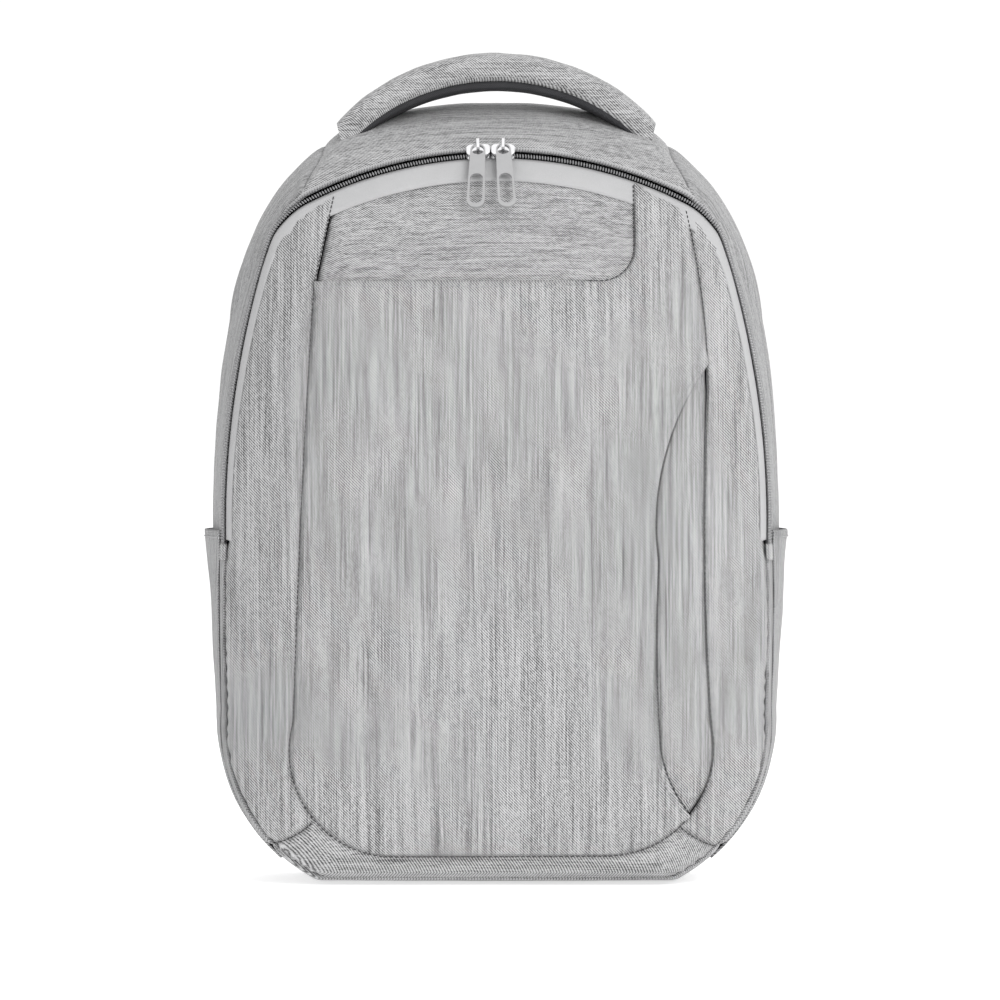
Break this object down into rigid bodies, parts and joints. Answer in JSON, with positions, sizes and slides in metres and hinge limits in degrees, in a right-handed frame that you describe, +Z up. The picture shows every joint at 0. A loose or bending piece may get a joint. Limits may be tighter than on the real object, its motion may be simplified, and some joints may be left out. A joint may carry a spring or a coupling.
{
  "type": "daypack",
  "caption": "Clamshell daypack in heather-grey twill with an arched double-slider zip, front, slash and side pockets, grab handle and padded shoulder straps.",
  "frame": {"origin": "on the ground at the middle of the base, half way between the front face and the back of the straps", "axes": "+Z up, front faces -Y, X across the pack"},
  "size_m": [0.3104, 0.17, 0.445],
  "materials": {
    "face_fabric": "light heather-grey twill, grain upright",
    "cross_fabric": "light heather-grey twill, grain level",
    "lining_fabric": "black plain weave",
    "back_fabric": "dark grey weave",
    "mesh_fabric": "black air mesh over foam",
    "foam": "closed-cell foam",
    "binding": "grey elastic binding",
    "zip_tape": "flat light-grey woven tape",
    "zip_coil": "grey polyester coil",
    "slider_metal": "polished nickel",
    "pull_enamel": "light-grey enamel",
    "webbing": "dark grey ribbed webbing",
    "buckle_plastic": "dark acetal",
    "stiffener": "board"
  },
  "bodies": {
    "pack_body": {"back_pad_left": "mesh_fabric", "back_pad_lumbar": "mesh_fabric", "back_pad_right": "mesh_fabric", "back_panel": "back_fabric", "base_board": "stiffener", "bottom_panel": "cross_fabric", "front_pocket_backing_fold": "cross_fabric", "front_pocket_backing_lower": "cross_fabric", "front_pocket_panel_fold": "face_fabric", "front_pocket_panel_lower": "face_fabric", "front_strip_left_fold": "face_fabric", "front_strip_left_lower": "face_fabric", "front_strip_right_fold": "face_fabric", "front_strip_right_lower": "face_fabric", "handle_end_left": "face_fabric", "handle_end_right": "face_fabric", "laptop_sleeve": "lining_fabric", "laptop_sleeve_binding": "binding", "side_gusset_left": "face_fabric", "side_gusset_right": "face_fabric", "side_pocket_binding_left": "binding", "side_pocket_binding_right": "binding", "side_pocket_left": "face_fabric", "side_pocket_right": "face_fabric", "slash_pocket_panel_fold": "face_fabric", "slash_pocket_panel_lower": "face_fabric", "strap_yoke": "webbing", "top_gusset": "cross_fabric", "webbing_anchor_left": "webbing", "webbing_anchor_right": "webbing", "zip_coil_rear": "zip_coil", "zip_end_tab_left": "zip_tape", "zip_end_tab_right": "zip_tape", "zip_tape_rear": "zip_tape"},
    "front_flap": {"front_pocket_backing_upper": "cross_fabric", "front_pocket_panel_upper": "face_fabric", "front_strip_left_upper": "face_fabric", "front_strip_right_upper": "face_fabric", "slash_pocket_panel_upper": "face_fabric", "zip_tape_front": "zip_tape", "zip_coil_front": "zip_coil"},
    "slider_right": {"zip_slider_right": "slider_metal"},
    "slider_left": {"zip_slider_left": "slider_metal"},
    "pull_right": {"zip_pull_right": "pull_enamel"},
    "pull_left": {"zip_pull_left": "pull_enamel"},
    "grab_handle": {"handle_cover": "face_fabric", "handle_foam": "foam", "handle_lining": "lining_fabric"},
    "strap_right": {"strap_cover_right": "face_fabric", "strap_mesh_right": "mesh_fabric", "ladder_lock_right": "buckle_plastic", "ladder_lock_loop_right": "webbing", "webbing_tail_right": "webbing"},
    "lower_webbing_right": {"lower_webbing_right": "webbing"},
    "strap_left": {"strap_cover_left": "face_fabric", "strap_mesh_left": "mesh_fabric", "ladder_lock_left": "buckle_plastic", "ladder_lock_loop_left": "webbing", "webbing_tail_left": "webbing"},
    "lower_webbing_left": {"lower_webbing_left": "webbing"}
  },
  "joints": [
    {"name": "front_open", "type": "hinge", "parent": "pack_body", "child": "front_flap", "pos_m": [0, -0.062, 0.181], "axis": [1, 0, 0], "range_deg": [0, 50], "deforming": ["front_pocket_backing_fold", "front_pocket_panel_fold", "front_strip_left_fold", "front_strip_right_fold", "slash_pocket_panel_fold"]},
    {"name": "handle_lean", "type": "hinge", "parent": "pack_body", "child": "grab_handle", "pos_m": [0, 0.02, 0.4], "axis": [1, 0, 0], "range_deg": [-1, 25], "stiffness_Nm_per_rad": 0.4, "deforming": ["handle_end_left", "handle_end_right"]},
    {"name": "slider_right_travel", "type": "hinge", "parent": "front_flap", "child": "slider_right", "pos_m": [0, -0.04519, 0.16556], "axis": [0, 0.9971, -0.0765], "range_deg": [0, 22]},
    {"name": "pull_right_swing", "type": "hinge", "parent": "slider_right", "child": "pull_right", "pos_m": [0.00365, -0.03121, 0.39304], "axis": [-0.9999, 0.0012, 0.016], "range_deg": [0, 150]},
    {"name": "slider_left_travel", "type": "hinge", "parent": "front_flap", "child": "slider_left", "pos_m": [0, -0.04519, 0.16556], "axis": [0, -0.9971, 0.0765], "range_deg": [0, 22]},
    {"name": "pull_left_swing", "type": "hinge", "parent": "slider_left", "child": "pull_left", "pos_m": [-0.00974, -0.03123, 0.39286], "axis": [-0.9991, -0.0033, -0.0426], "range_deg": [0, 150]},
    {"name": "strap_right_swing", "type": "hinge", "parent": "pack_body", "child": "strap_right", "pos_m": [0.044, 0.0585, 0.39], "axis": [1, 0, 0], "range_deg": [0, 8]},
    {"name": "lower_webbing_right_swing", "type": "hinge", "parent": "pack_body", "child": "lower_webbing_right", "pos_m": [0.112, 0.0582, 0.026], "axis": [1, 0, 0], "range_deg": [-34, 0]},
    {"name": "strap_left_swing", "type": "hinge", "parent": "pack_body", "child": "strap_left", "pos_m": [-0.044, 0.0585, 0.39], "axis": [1, 0, 0], "range_deg": [0, 8]},
    {"name": "lower_webbing_left_swing", "type": "hinge", "parent": "pack_body", "child": "lower_webbing_left", "pos_m": [-0.112, 0.0582, 0.026], "axis": [1, 0, 0], "range_deg": [-34, 0]}
  ],
  "couplings": [
    {"joint": "lower_webbing_right_swing", "follows": "strap_right_swing", "ratio": -4.2},
    {"joint": "lower_webbing_left_swing", "follows": "strap_left_swing", "ratio": -4.2}
  ]
}
